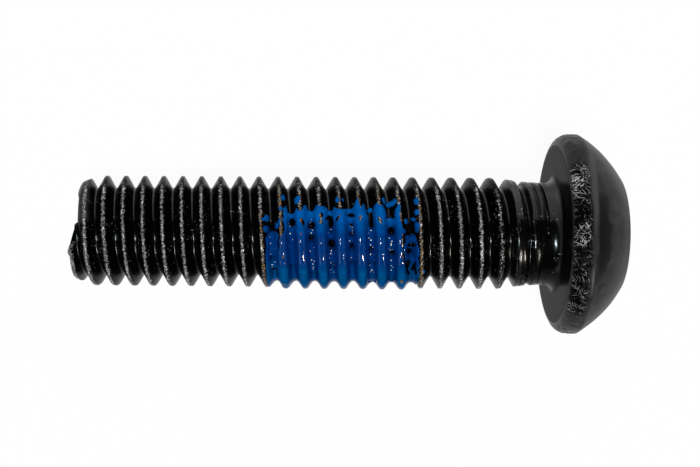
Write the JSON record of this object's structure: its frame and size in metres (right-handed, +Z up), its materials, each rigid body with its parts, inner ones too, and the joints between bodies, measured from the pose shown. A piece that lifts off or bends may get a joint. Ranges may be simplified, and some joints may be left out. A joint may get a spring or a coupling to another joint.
{
  "type": "button-head machine screw with locking patch",
  "caption": "Black button-head machine screw with a hexagon socket, a right-hand thread and a blue nylon locking patch, lying on its side.",
  "frame": {"origin": "on the surface the screw lies on, below the middle of its length and on its centre plane", "axes": "+Z is up from that surface; +X runs along the screw from the tip to the head; the screw's own axis rises towards the head by about 5.3 degrees, because the screw rests on the head's rim and on the thread at the tip; +Y is to its left, seen from the tip"},
  "size_m": [0.0286, 0.0104, 0.0103],
  "materials": {
    "black_steel": "black oxide, satin",
    "blue_nylon": "fused nylon, semi-gloss"
  },
  "bodies": {
    "root": {"screw": "black_steel", "locking_patch": "blue_nylon"}
  },
  "joints": []
}
